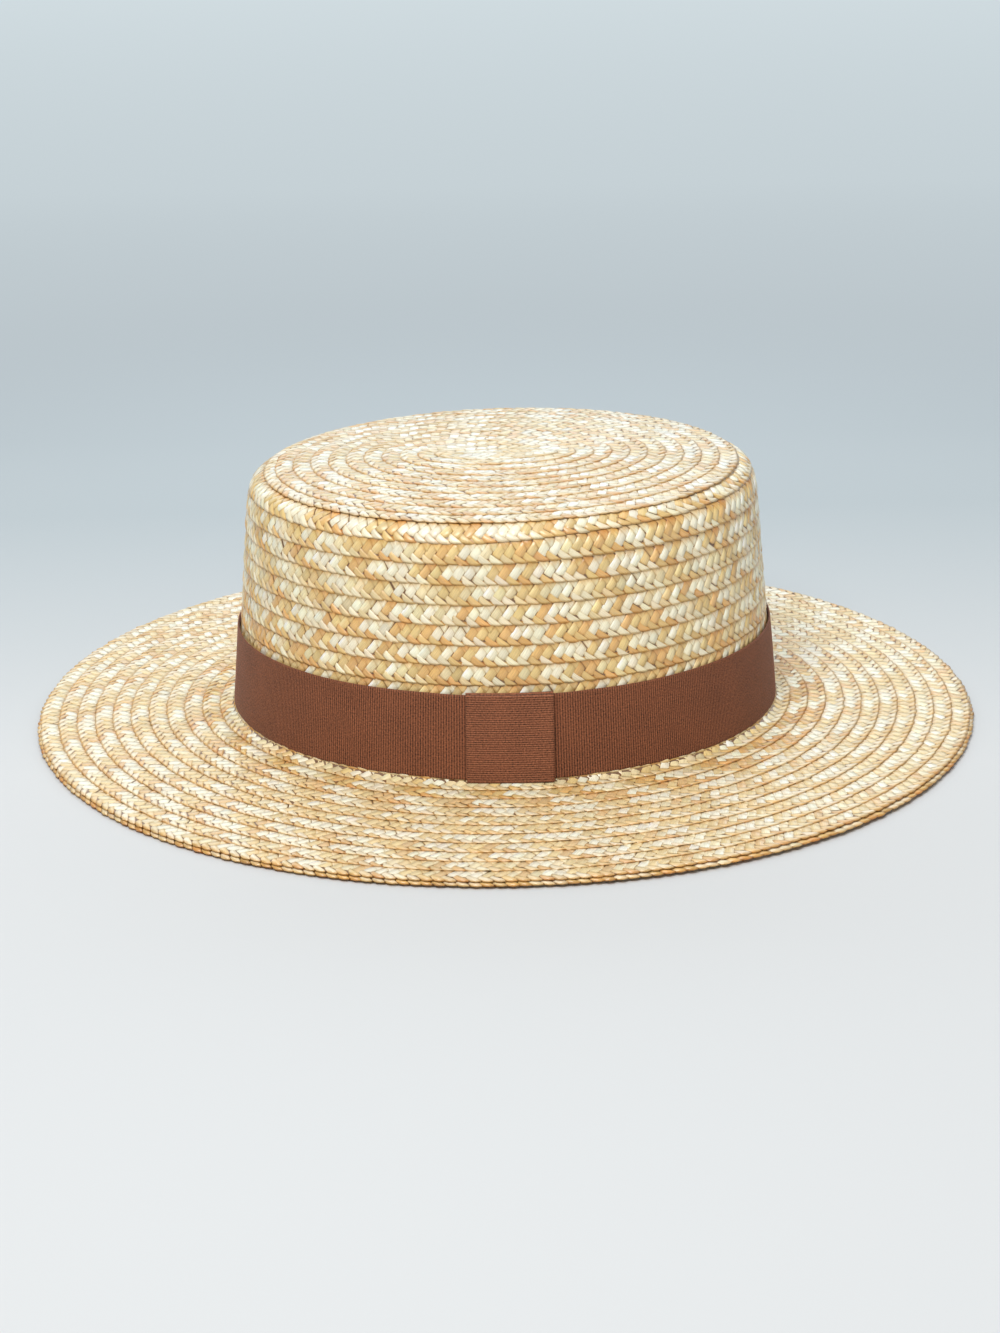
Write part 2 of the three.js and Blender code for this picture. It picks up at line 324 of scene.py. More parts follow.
        # small holes where the splints turn: dented a little and painted darker as shade
        hole = np.clip(0.62 + 0.40 * j[:, 6], 0, 1) * np.array([1, 0, 0, 0, 1])[None, :, None] * np.array([1.0, 1.0, 0.6, 0.1, 0, 0])[None, None, :]
        shade = shade * (1 - (0.40 + 0.30 * comb) * hole)
        H = H - 0.20 * hole
    if zone == "C":             # slits between the splints beside the row above: dented and painted darker as shade
        slit = np.clip(0.55 + 0.45 * j[:, 6], 0, 1) * comb * np.array([1, 0, 0, 0, 1])[None, :, None] * np.clip((V - 1.2) / 0.6, 0, 1) * np.clip((5.2 - V) / 1.5, 0, 1)
        shade = shade * (1 - 0.74 * slit)
        H = H - 0.35 * slit
    along = b[None, None, :] * 4.0 + 0 * H
    across = A * 3.1 + 0 * H
    return S + 0 * H, V + 0 * H, H, shade, along, across


ZONES = (("A", 0, 0.000, 0.300), ("B", 1, 0.305, 0.285), ("C", 2, 0.595, 0.165),
         ("U", 1, 0.765, 0.055), ("V", 0, 0.823, 0.055), ("W", 2, 0.881, 0.055))
BASE_V = np.array([0.0, 2.0, 5.0, 8.3, 8.85, 8.3, 5.0, 2.0])


def plait_piece(name, spiral, first, last, rng_seed, tone):
    """The stretch of a spiral from splint `first` to `last` as one mesh: a closed thin base and the facets on it."""
    n = last - first
    rng = np.random.default_rng(rng_seed)
    state = {z: np.random.default_rng([rng_seed, ord(z)]) for z in "ABCUVW"}
    cells = np.arange(first, last)
    strips = max(1, int(round(math.sqrt(n / 1.35))))
    cells_in = int(math.ceil(n / strips))
    lane, slot = (cells - first) // cells_in, (cells - first) % cells_in
    verts, quads, colours, strand, bake = [], [], [], [], []
    count = 0

    def put(pts, q, col, su, bk):
        nonlocal count
        verts.append(pts.reshape(-1, 3))
        quads.append(q + count)
        colours.append(col.reshape(-1, 3)[q])
        strand.append(su.reshape(-1, 2)[q])
        bake.append(bk.reshape(-1, 2)[q])
        count += pts.size // 3

    # the loops at the rim's edge are longer
    mid_turn = spiral.turn((np.arange(spiral.cells + 4) + 0.5) * spiral.cell)
    big, comb = spiral.big(mid_turn), spiral.comb(mid_turn)
    fold = np.clip(spiral.meet(mid_turn) / 0.75, 0, 1)

    def world(S, V, H):
        T = spiral.turn(S * spiral.cell)
        return place(spiral.at(T, V), spiral.angle(T), H + spiral.lift(T) + spiral.rise(T) * np.clip(1 - V / 7.0, 0, 1))

    for zone, leg, u0, du in ZONES:
        S, V, H, shade, along, across = facet_zone(zone, spiral.cells + 4, state[zone], big[:, None, None], comb[:, None, None])
        S, V, H, shade, along, across = (x[first:last] for x in (S, V, H, shade, along, across))
        S = S + cells[:, None, None]
        na, nb = S.shape[1:]
        pts = world(S, V, H)
        idx = np.arange(n * na * nb).reshape(n, na, nb)
        q = np.stack([idx[:, :-1, :-1], idx[:, 1:, :-1], idx[:, 1:, 1:], idx[:, :-1, 1:]], -1).reshape(-1, 4)
        if zone in "AC":        # the two sides of the middle fold touch, so their painted shade is lifted there and shows no dark gap
            shade = shade + (1 - shade) * 0.75 * fold[cells][:, None, None] * np.clip((4.6 - V) / 1.5, 0, 1)
        # painted shade made into colour, warmer where it is darker
        warm = np.stack([shade ** 0.65, shade ** 1.0, shade ** 1.6], -1)
        # painted warm shade: in the crevice under the next row, on the free edge where it rolls under, and at half
        # strength on the underside
        warm_shade = np.clip((2.9 - V) / 0.8, 0, 1) if zone in "AC" else (np.array([0.4, 0.22, 0.45, 1.30, 1.85, 1.85])[None, None, :] + 0 * V if zone == "B" else 0.5 + 0 * V)
        warm_shade = warm_shade * (1 - 0.8 * fold[cells][:, None, None]) * (1 if zone != "B" else 0.66 + 0.34 * comb[cells][:, None, None])
        warm = warm * (1 - warm_shade[..., None] * np.array([0.07, 0.25, 0.46]))
        col = tone[leg][cells % len(tone[leg])][:, None, None, :] * warm
        offset = (cells * 7.31 + leg * 3.7)[:, None, None] % 97.0
        su = np.stack([along + offset, across + offset * 1.7], -1)
        ai = np.linspace(0, 1, na)[None, :, None] + 0 * S
        bi = np.linspace(0, 1, nb)[None, None, :] + 0 * S
        bu = (slot[:, None, None] + 0.03 + 0.94 * ai) / cells_in
        bv = (lane[:, None, None] + u0 + du * (0.02 + 0.96 * bi)) / strips
        put(pts, q, col, su, np.stack([bu, bv], -1))

    # the base, a closed band
    m = n + 1
    v = np.tile(BASE_V, (m, 1))
    h = np.concatenate([low_top(BASE_V[:4]) - 0.04, [0.14], low_under(BASE_V[5:]) + 0.04])
    h = np.tile(h, (m, 1))
    s = np.arange(first, last + 1)[:, None] + 0 * v
    pts = world(s, v, h)
    k = len(BASE_V)
    idx = np.arange(m * k).reshape(m, k)
    nx = np.roll(idx, -1, axis=1)
    q = np.stack([idx[:-1], idx[1:], nx[1:], nx[:-1]], -1).reshape(-1, 4)
    ring = np.linspace(0, 1, k + 1)
    cell_i = np.repeat(np.arange(n), k)
    ki = np.tile(np.arange(k), n)
    verts.append(pts.reshape(-1, 3))
    quads.append(q + count)
    # painted shade: the base takes the crevice shade colour, lifted to straw colour at the middle fold
    light = fold[cells[cell_i]][:, None, None] * (np.array([0.66, 0.51, 0.29]) - np.array(CREVICE_SHADE))
    colours.append(np.tile(np.array(CREVICE_SHADE), (len(q), 4, 1)) + light)
    strand.append(np.stack([np.stack([ki, ki, ki + 1, ki + 1], -1) * 2.0, np.stack([cell_i, cell_i + 1, cell_i + 1, cell_i], -1) * 3.0], -1))
    bu = (slot[cell_i][:, None] + np.array([0.0, 1.0, 1.0, 0.0])[None, :] * 0.94 + 0.03) / cells_in
    bv = (lane[cell_i][:, None] + 0.94 + 0.055 * np.stack([ring[ki], ring[ki], ring[ki + 1], ring[ki + 1]], -1)) / strips
    bake.append(np.stack([bu, bv], -1))
    base0 = count
    count += m * k
    ends = np.array([pts[0].mean(0), pts[-1].mean(0)])
    verts.append(ends)
    r = np.arange(k)
    caps = np.vstack([
        np.stack([np.full(k, count), base0 + r, base0 + (r + 1) % k], -1),
        np.stack([np.full(k, count + 1), base0 + n * k + (r + 1) % k, base0 + n * k + r], -1),
    ])
    verts = np.vstack(verts)
    quads = np.vstack(quads)
    colours = np.concatenate([np.vstack(colours).reshape(-1, 3), np.tile(np.array(CREVICE_SHADE), (caps.size, 1))])
    strand = np.concatenate([np.vstack(strand).reshape(-1, 2), np.zeros((caps.size, 2))])
    tiny = []
    for e in range(2):
        for i in range(k):
            x0, y0 = (0.05 + 0.9 * i / k) * 0.02 / cells_in, (0.2 + 0.4 * e) / strips
            tiny += [(x0, y0), (x0 + 0.001 / cells_in, y0), (x0, y0 + 0.3 / strips)]
    bake = np.concatenate([np.vstack(bake).reshape(-1, 2), np.array(tiny)])
    colours = np.clip(np.c_[colours, np.ones(len(colours))], 0, 1)
    me = bpy.data.meshes.new(name)
    me.vertices.add(len(verts))
    me.vertices.foreach_set("co", (verts * MM).astype(np.float32).ravel())
    loops = np.concatenate([quads.ravel(), caps.ravel()])
    starts = np.concatenate([np.arange(len(quads)) * 4, len(quads) * 4 + np.arange(len(caps)) * 3])
    me.loops.add(len(loops))
    me.loops.foreach_set("vertex_index", loops.astype(np.int32))
    me.polygons.add(len(starts))
    me.polygons.foreach_set("loop_start", starts.astype(np.int32))
    me.polygons.foreach_set("use_smooth", np.ones(len(starts), bool))
    me.update(calc_edges=True)
    lay = me.uv_layers.new(name="OFBake")
    lay.data.foreach_set("uv", bake.astype(np.float32).ravel())
    lay = me.uv_layers.new(name="strand")
    lay.data.foreach_set("uv", strand.astype(np.float32).ravel())
    ca = me.color_attributes.new(name="tone", type="FLOAT_COLOR", domain="CORNER")
    ca.data.foreach_set("color", colours.astype(np.float32).ravel())
    if me.validate():
        print("mesh", name, "had faults")
    print("piece", name, "splints", n, "triangles", len(quads) * 2 + len(caps))
    ob = bpy.data.objects.new(name, me)
    bpy.context.scene.collection.objects.link(ob)
    return ob


# ------------------------------------------------------------------ materials
def new_material(name):
    mat = bpy.data.materials.new(name)
    mat.use_nodes = True
    nt = mat.node_tree
    return mat, nt, nt.nodes["Principled BSDF"]


def math_node(nt, op, a, b=None, c=None):
    n = nt.nodes.new("ShaderNodeMath")
    n.operation = op
    for k, x in enumerate((a, b, c)):
        if x is None:
            continue
        if isinstance(x, (int, float)):
            n.inputs[k].default_value = x
        else:
            nt.links.new(x, n.inputs[k])
    return n.outputs[0]


def straw_material():
    mat, nt, bsdf = new_material("straw")
    tone = nt.nodes.new("ShaderNodeAttribute")
    tone.attribute_name = "tone"
    uv = nt.nodes.new("ShaderNodeUVMap")
    uv.uv_map = "strand"
    scale = nt.nodes.new("ShaderNodeMapping")
    scale.inputs["Scale"].default_value = (0.22, 3.9, 1.0)
    nt.links.new(uv.outputs[0], scale.inputs[0])
    fibre = nt.nodes.new("ShaderNodeTexNoise")
    fibre.noise_dimensions = "2D"
    fibre.inputs["Scale"].default_value = 1.0
    fibre.inputs["Detail"].default_value = 3.0
    nt.links.new(scale.outputs[0], fibre.inputs["Vector"])
    # streaks along the straw
    bright = math_node(nt, "MULTIPLY_ADD", fibre.outputs[0], 0.56, 0.72)
    mix = nt.nodes.new("ShaderNodeVectorMath")
    mix.operation = "SCALE"
    nt.links.new(tone.outputs["Color"], mix.inputs[0])
    nt.links.new(bright, mix.inputs["Scale"])
    nt.links.new(mix.outputs[0], bsdf.inputs["Base Color"])
    rough = math_node(nt, "MULTIPLY_ADD", fibre.outputs[0], 0.28, 0.20)
    nt.links.new(rough, bsdf.inputs["Roughness"])
    bsdf.inputs["Specular IOR Level"].default_value = 0.70
    bsdf.inputs["Coat Weight"].default_value = 0.55
    bsdf.inputs["Coat Roughness"].default_value = 0.24
    bump = nt.nodes.new("ShaderNodeBump")
    bump.inputs["Strength"].default_value = 0.5
    bump.inputs["Distance"].default_value = 0.00012
    nt.links.new(fibre.outputs[0], bump.inputs["Height"])
    nt.links.new(bump.outputs[0], bsdf.inputs["Normal"])
    return mat


def ribbon_material(name, colour):
    mat, nt, bsdf = new_material(name)
    uv = nt.nodes.new("ShaderNodeUVMap")
    uv.uv_map = "cloth"
    scale = nt.nodes.new("ShaderNodeMapping")
    scale.inputs["Scale"].default_value = (1.2, 6.5, 1.0)
    nt.links.new(uv.outputs[0], scale.inputs[0])
    weave = nt.nodes.new("ShaderNodeTexNoise")
    weave.noise_dimensions = "2D"
    weave.inputs["Scale"].default_value = 1.0
    weave.inputs["Detail"].default_value = 2.0
    nt.links.new(scale.outputs[0], weave.inputs["Vector"])
    slow = nt.nodes.new("ShaderNodeTexNoise")
    slow.noise_dimensions = "2D"
    slow.inputs["Scale"].default_value = 0.09
    nt.links.new(uv.outputs[0], slow.inputs["Vector"])
    v = math_node(nt, "MULTIPLY_ADD", weave.outputs[0], 0.90, 0.38)
    sep = nt.nodes.new("ShaderNodeSeparateXYZ")
    nt.links.new(uv.outputs[0], sep.inputs[0])
    # painted light and shade: a light stripe on each rib's ridge, darker between, over the ribs' real relief
    rib = math_node(nt, "SINE", math_node(nt, "MULTIPLY_ADD", sep.outputs[1], 2 * math.pi / 0.8, -0.5 * math.pi))
    v = math_node(nt, "MULTIPLY_ADD", rib, 0.50, v)
    v = math_node(nt, "MULTIPLY_ADD", slow.outputs[0], 0.26, v)
    grain = nt.nodes.new("ShaderNodeTexNoise")
    grain.noise_dimensions = "2D"
    grain.inputs["Scale"].default_value = 1.7
    grain.inputs["Detail"].default_value = 1.0
    nt.links.new(uv.outputs[0], grain.inputs["Vector"])
    v = math_node(nt, "MULTIPLY_ADD", grain.outputs[0], 1.5, math_node(nt, "SUBTRACT", v, 0.75))
    rgb = nt.nodes.new("ShaderNodeVectorMath")
    rgb.operation = "SCALE"
    rgb.inputs[0].default_value = colour
    nt.links.new(v, rgb.inputs["Scale"])
    nt.links.new(rgb.outputs[0], bsdf.inputs["Base Color"])
    bsdf.inputs["Roughness"].default_value = 0.72
    bsdf.inputs["Specular IOR Level"].default_value = 0.35
    bsdf.inputs["Sheen Weight"].default_value = 0.12
    bsdf.inputs["Sheen Roughness"].default_value = 0.4
    bump = nt.nodes.new("ShaderNodeBump")
    bump.inputs["Strength"].default_value = 0.6
    bump.inputs["Distance"].default_value = 0.0001
    nt.links.new(weave.outputs[0], bump.inputs["Height"])
    nt.links.new(bump.outputs[0], bsdf.inputs["Normal"])
    return mat


STRAW = straw_material()
RIBBON = ribbon_material("ribbon", (0.200, 0.067, 0.030))
# the loop is the same ribbon as the band; its slightly lighter colour is painted light
RIBBON_LOOP = ribbon_material("ribbon_across", (0.222, 0.078, 0.037))

# ------------------------------------------------------------------ straw pieces
rng = np.random.default_rng(SEED)

TIP_TURNS = 1 + (S_TIP - (S_FOLD + 3.2)) / TIP_PITCH
TIP_TURNS = math.floor(TIP_TURNS - 0.6056 + 0.5) + 0.6056          # so that it starts at an end of the fold
tip_pitch = (S_TIP - (S_FOLD + 3.2)) / (TIP_TURNS - 1)


def tip_edge(t):
    return np.minimum(S_FOLD + 3.2 + tip_pitch * t, S_TIP)


def tip_lift(t):
    return LIFT * np.clip(TIP_TURNS - t, 0, 1)


def tip_fold(t):
    return np.clip((1.1 - t) / 0.15, 0, 1)


tip_spiral = Spiral(TIP_TURNS, FORK + 2 * math.pi * TIP_TURNS, tip_edge, tip_lift, lambda t: 0.42 + 0 * t,
                    lambda t: 0.55 * tip_fold(t), meet=lambda t: 0.75 * tip_fold(t))

# edges of the rows from the shoulder to the rim, one for each turn
SIDE_ROWS, BRIM_ROWS = 12, 11
LEVELS = [S_TIP - 0.3] + [S_SHOULDER + SIDE_PITCH * i for i in range(SIDE_ROWS)]
brim_levels = [S_RIM - BRIM_PITCH * i for i in range(BRIM_ROWS - 1, -1, -1)]
LEVELS += [(LEVELS[-1] + brim_levels[0]) / 2] + brim_levels
BODY_TURNS = len(LEVELS) - 1 + 0.4


def ease(x):
    x = np.clip(x, 0, 1)
    return x * x * (3 - 2 * x)


def body_edge(t):
    t = np.maximum(t, 0)
    k = np.minimum(np.floor(t).astype(int), len(LEVELS) - 1)
    low = np.array(LEVELS)[k]
    high = np.array(LEVELS)[np.minimum(k + 1, len(LEVELS) - 1)]
    edge = low + (high - low) * ease((t - k) / STEP_SPAN)
    # the first rows are drawn up on the right of the front
    phase = t - np.floor(t)
    near = ease((phase - 0.36) / 0.08) * ease((0.70 - phase) / 0.11)
    edge = edge - near * np.where(k == 0, 2.2, np.where(k == 1, 1.1, 0.0))
    out = np.exp(-((((STEP_AT - 2 * np.pi * t) + math.radians(45) + np.pi) % (2 * np.pi) - np.pi) / 0.7) ** 2)
    edge = edge - 0.45 * out * ease(t - (len(LEVELS) - 3))
    return edge


def body_lift(t):
    return -0.6 * np.clip(1 - t / STEP_SPAN, 0, 1) - LIFT * ease((t - (len(LEVELS) - 1)) / 0.30)


def body_rise(t):
    past = ((FORK - (STEP_AT - 2 * np.pi * t)) / (2 * np.pi)) % 1.0
    return np.where(t < 1.0 + 0 * t, 0.60 * (1 - past) * ease(past / 0.03), 0.0)


def body_comb(t):
    return 0.30 + 0.70 * ease((t - 12.5) / 1.0)


body_spiral = Spiral(BODY_TURNS, STEP_AT, body_edge, body_lift, lambda t: ease((t - (len(LEVELS) - 2)) / STEP_SPAN), body_rise, body_comb)


def under_edge(t):
    # it stands out a little more on the right of the front
    out = np.exp(-((((math.radians(200) - 2 * np.pi * t) + math.radians(45) + np.pi) % (2 * np.pi) - np.pi) / 0.7) ** 2)
    return float(np.interp(RIM_R - 0.45, G_R, G_S)) + 0.35 * out + 0.12 * np.sin(9 * np.pi * t)


def under_lift(t):
    return np.full_like(t, -BRIM_OUT_Z + 0.84)


under_spiral = Spiral(1.0, math.radians(200), under_edge, under_lift, lambda t: 1 + 0 * t)

pieces = []


def lay(name, spiral, first, last, seed, tone, node=None):
    ob = plait_piece(name, spiral, first, last, seed, tone)
    ob.data.materials.append(STRAW)
    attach(ob, "root")
    pieces.append(ob)
    return ob


tone_tip = tones(tip_spiral.cells + 2, rng)
tone_body = tones(body_spiral.cells + 2, rng)
tone_under = tones(under_spiral.cells + 2, rng)
# the tones of the tip are blended paler and more even, those of the brim a little
tone_tip = [(0.72 * c + 0.28 * np.array([0.885, 0.815, 0.610])) * np.array([0.94, 0.985, 1.12]) for c in tone_tip]
paler = 0.25 * ease(np.arange(body_spiral.cells + 2) / body_spiral.cells * BODY_TURNS - 12.5)[:, None]
tone_body = [((1 - paler) * c + paler * np.array([0.88, 0.79, 0.56])) * (1 + paler / 0.25 * np.array([0.02, 0.04, 0.12]))
             for c in tone_body]

tip = lay("crown_tip", tip_spiral, 0, tip_spiral.cells, 3, tone_tip)


def cell_at_turn(spiral, turn):
    return int(round(float(np.interp(turn, spiral.t, spiral.s)) / spiral.cell))


cuts = [0, cell_at_turn(body_spiral, 6.5), cell_at_turn(body_spiral, 13.3)]
brim_first, brim_last = cuts[-1], body_spiral.cells
cuts += [int((brim_first + brim_last) / 2), brim_last]
names = ["crown_side_upper", "crown_side_lower", "brim_inner", "brim_outer"]
for k, nm in enumerate(names):
    lay(nm, body_spiral, cuts[k], cuts[k + 1], 5, tone_body)
under = lay("rim_underlay", under_spiral, 0, under_spiral.cells, 9, tone_under)

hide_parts("crown")
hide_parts("brim")
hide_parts("brim_edge_braid")

# ------------------------------------------------------------------ ribbon
RIBBON_Z0, RIBBON_Z1 = 6.2, 36.15
BAND_OFF = 1.10                 # inner face over the low line of the straw
THICK = 0.5
RIB = 0.80                      # mm between the ribs of the band
LOOP_X, LOOP_W = 1.35, 29.8
LOOP_RIB = 0.78


def side_point(theta, z, off):
    r = side_r(z) + off
    e = oval_e(r)
    return np.stack([(r + e) * np.cos(theta), (r - e) * np.sin(theta), z + 0 * theta], -1)


def grid_mesh(name, pts, close_u, close_v, cloth_uv, bake_uv, mat):
    """pts is (nu, nv, 3); closed both ways unless caps are given by repeated rows."""
    nu, nv = pts.shape[:2]
    iu = np.arange(nu if close_u else nu - 1)[:, None]
    iv = np.arange(nv if close_v else nv - 1)[None, :]
    a = iu * nv + iv
    b = ((iu + 1) % nu) * nv + iv
    c = ((iu + 1) % nu) * nv + (iv + 1) % nv
    d = iu * nv + (iv + 1) % nv
    quads = np.stack([a, b, c, d], -1).reshape(-1, 4)
    cu = np.stack([iu + 0 * iv, iu + 1 + 0 * iv, iu + 1 + 0 * iv, iu + 0 * iv], -1).reshape(-1, 4)
    cv = np.stack([iv + 0 * iu, iv + 0 * iu, iv + 1 + 0 * iu, iv + 1 + 0 * iu], -1).reshape(-1, 4)
    me = bpy.data.meshes.new(name)
    me.from_pydata([], [], [])
    verts = pts.reshape(-1, 3)
    me.vertices.add(len(verts))
    me.vertices.foreach_set("co", (verts * MM).astype(np.float32).ravel())
    me.loops.add(quads.size)
    me.loops.foreach_set("vertex_index", quads.ravel().astype(np.int32))
    me.polygons.add(len(quads))
    me.polygons.foreach_set("loop_start", (np.arange(len(quads)) * 4).astype(np.int32))
    me.polygons.foreach_set("use_smooth", np.ones(len(quads), bool))
    me.update(calc_edges=True)
    lay_ = me.uv_layers.new(name="OFBake")
    lay_.data.foreach_set("uv", bake_uv(cu, cv).reshape(-1, 2).astype(np.float32).ravel())
    lay_ = me.uv_layers.new(name="cloth")
    lay_.data.foreach_set("uv", cloth_uv(cu, cv).reshape(-1, 2).astype(np.float32).ravel())
    me.validate()
    ob = bpy.data.objects.new(name, me)
    bpy.context.scene.collection.objects.link(ob)
    me.materials.append(mat)
    return ob


def band_piece():
    t = np.linspace(0, 2 * np.pi, 4001)
    p0 = side_point(t, 20.0, 2.0)
    length = np.r_[0, np.cumsum(np.linalg.norm(np.diff(p0, axis=0), axis=1))]
    ribs = int(round(length[-1] / RIB))
    print("band: once round", round(float(length[-1]), 1), "mm")
    per = 4
    s = np.arange(ribs * per) / (ribs * per) * length[-1]
    theta = np.interp(s, length, t) - np.pi / 2
    rib = np.array([0.0, 0.75, 1.0, 0.75])[np.arange(ribs * per) % per]
    # down the outside, then up the inside
    table = (
        # height 0..1, offset, rib share
        (0.000, 0.25, 0.0), (0.004, 0.46, 0.3), (0.030, 0.50, 0.8), (0.045, 0.47, 1.0),
        (0.20, 0.50, 1.0), (0.40, 0.50, 1.0), (0.60, 0.50, 1.0), (0.80, 0.50, 1.0),
        (0.955, 0.47, 1.0), (0.970, 0.50, 0.8), (0.996, 0.46, 0.3), (1.000, 0.25, 0.0),
        (0.990, 0.02, -0.2), (0.60, 0.00, -0.6), (0.30, 0.00, -0.6), (0.010, 0.02, -0.2),
    )
    rows = []
    x0 = (side_point(theta, 20.0, 2.0))[:, 0]
    front = np.sin(theta) < 0
    d = np.abs(x0 - LOOP_X)
    k = np.clip((30.0 - d) / 13.0, 0, 1)
    swell = np.where(front, 0.62 * k * k * (3 - 2 * k), 0)
    rng_ = np.random.default_rng(21)
    wob = np.zeros_like(theta); wob2 = np.zeros_like(theta)
    for f in (2, 3, 5, 7, 11):
        a, b = rng_.uniform(0, 6.28, 2)
        wob += 0.10 / f ** 0.5 * np.sin(f * theta + a)
        wob2 += 0.10 / f ** 0.5 * np.sin(f * theta + b)
    for h, off, share in table:
        z = RIBBON_Z0 + (RIBBON_Z1 - RIBBON_Z0) * h + wob * (1 - h) + wob2 * h
        o = BAND_OFF + off + swell + 0.11 * share * rib + 0.10 * np.sin(np.pi * h) * np.sin(3 * theta + 1.0)
        r = side_r(z) + o
        e = oval_e(r)
        rows.append(np.stack([(r + e) * np.cos(theta), (r - e) * np.sin(theta), z], -1))
    pts = np.stack(rows, 1)
    hs = [r[0] for r in table]
    vv = np.r_[0, np.cumsum(np.abs(np.diff(np.r_[hs, hs[0]])) * 29.3 + 0.2)]
    total_u = ribs * per
    lanes = 4

    def cloth(cu, cv):
        return np.stack([vv[cv], cu / per * 0.8], -1)

    def bake(cu, cv):
        n = total_u // lanes + 1
        lane = np.minimum(cu.min(1) // n, lanes - 1)
        u = (cu - lane[:, None] * n + 2.0) / (n + 4.0)
        v = (lane[:, None] + 0.02 + 0.96 * vv[cv] / vv[-1]) / lanes
        return np.stack([u, v], -1)

    return grid_mesh("ribbon_band_cloth", pts, True, True, cloth, bake, RIBBON)


def loop_piece():
    """The short loop: a ring of ribbon whose section runs up the front and down behind the band."""
    nx = 33
    x = np.linspace(-LOOP_W / 2, LOOP_W / 2, nx)
    # section: outer line of the ring as points of (offset, height), then the inner line
    z0, z1 = RIBBON_Z0 - 0.55, RIBBON_Z1 + 0.30
    mid = 2.45
    steps = int((z1 - z0) / LOOP_RIB) * 4
    front = [(mid + 0.35, z0 + (z1 - z0) * i / steps, i) for i in range(2, steps - 1)]
    ribs = lambda i: (0.0, 0.75, 1.0, 0.75)[i % 4]
    path = []
    for off, z, i in front:
        path.append((off, z, ribs(i), 1.0))
    for k in range(1, 8):                     # over the top
        a = math.pi * k / 8
        path.append((mid - 0.45 + 0.80 * math.cos(a), z1 - 0.5 + 0.72 * math.sin(a), 0.4, 0.5))
    for k in range(0, 13):                    # down behind
        path.append((mid - 1.25, z1 - 0.6 - (z1 - z0 - 1.2) * k / 12, 0.3, 0.3))
    for k in range(1, 8):
        a = math.pi + math.pi * k / 8
        path.append((mid - 0.45 + 0.80 * math.cos(a), z0 + 0.5 + 0.72 * math.sin(a), 0.4, 0.5))
    off = np.array([q[0] for q in path]); zz = np.array([q[1] for q in path])
    rb = np.array([q[2] for q in path]); share = np.array([q[3] for q in path])
    # normals of the section, pointing out of the ring
    do = np.roll(off, -1) - np.roll(off, 1); dz = np.roll(zz, -1) - np.roll(zz, 1)
    ln = np.hypot(do, dz); no, nz = dz / ln, -do / ln
    t = 0.42
    rows = []
    edge = np.array([0.0, 0.8, 1.0, 1.0, 1.0])
    prof = []
    for i, xx in enumerate(x):
        prof.append(xx)
    cols = []
    for xx in x:
        lift = 0.12 + 0.95 * np.clip((xx / LOOP_W + 0.5), 0, 1) ** 3
        a = (xx + LOOP_X)
        cols.append((a, lift, 1.0 - 0.12 * (abs(xx) > LOOP_W / 2 - 0.8)))
    nsec = len(path)
    frontness = np.clip((off - (mid - 0.45)) / 0.8, 0, 1)
    surf = []
    # across: outer face left to right, then inner face right to left
    order = [("out", i) for i in range(nx)] + [("in", nx - 1 - i) for i in range(nx)]
    for side, i in order:
        a, lift, full = cols[i]
        h = (t / 2 + 0.09 * rb * share) if side == "out" else -t / 2 * np.ones(nsec)
        if i in (0, nx - 1):
            h = h * 0.55
        o = off + no * h + lift * frontness
        z = zz + nz * h
        wav = 0.05 * math.sin(i * 0.9)
        r = side_r(z) + o
        e = oval_e(r)
        xs = np.full(nsec, a + wav * 0)
        y = -(side_r(z) - oval_e(side_r(z))) * np.sqrt(np.maximum(0, 1 - (xs / (side_r(z) + oval_e(side_r(z)))) ** 2)) - o
        surf.append(np.stack([xs, y, z], -1))
    pts = np.stack(surf, 0)
    along = np.r_[0, np.cumsum(np.hypot(np.diff(np.r_[off, off[0]]), np.diff(np.r_[zz, zz[0]])))]
    n2 = len(order)

    def cloth(cu, cv):
        xs = np.array([cols[i][0] for _, i in order] + [cols[0][0]])
        return np.stack([xs[cu] * 1.0, along[cv] * 0.8 / LOOP_RIB], -1)

    print("loop: once round", round(float(along[-1]), 1), "mm")

    def bake(cu, cv):
        return np.stack([(cu + 0.5) / (n2 + 1.0), 0.01 + 0.98 * along[cv] / along[-1]], -1)

    return grid_mesh("ribbon_loop_cloth", pts, True, True, cloth, bake, RIBBON_LOOP)


band = band_piece()
loop = loop_piece()
for ob, node in ((band, "ribbon_band"), (loop, "ribbon_loop")):
    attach(ob, "root")
    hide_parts(node)

# ------------------------------------------------------------------ floor and light
def stage_material(name, colour, rough):
    mat, nt, bsdf = new_material(name)
    bsdf.inputs["Base Color"].default_value = (*colour, 1)
    bsdf.inputs["Roughness"].default_value = rough
    return mat


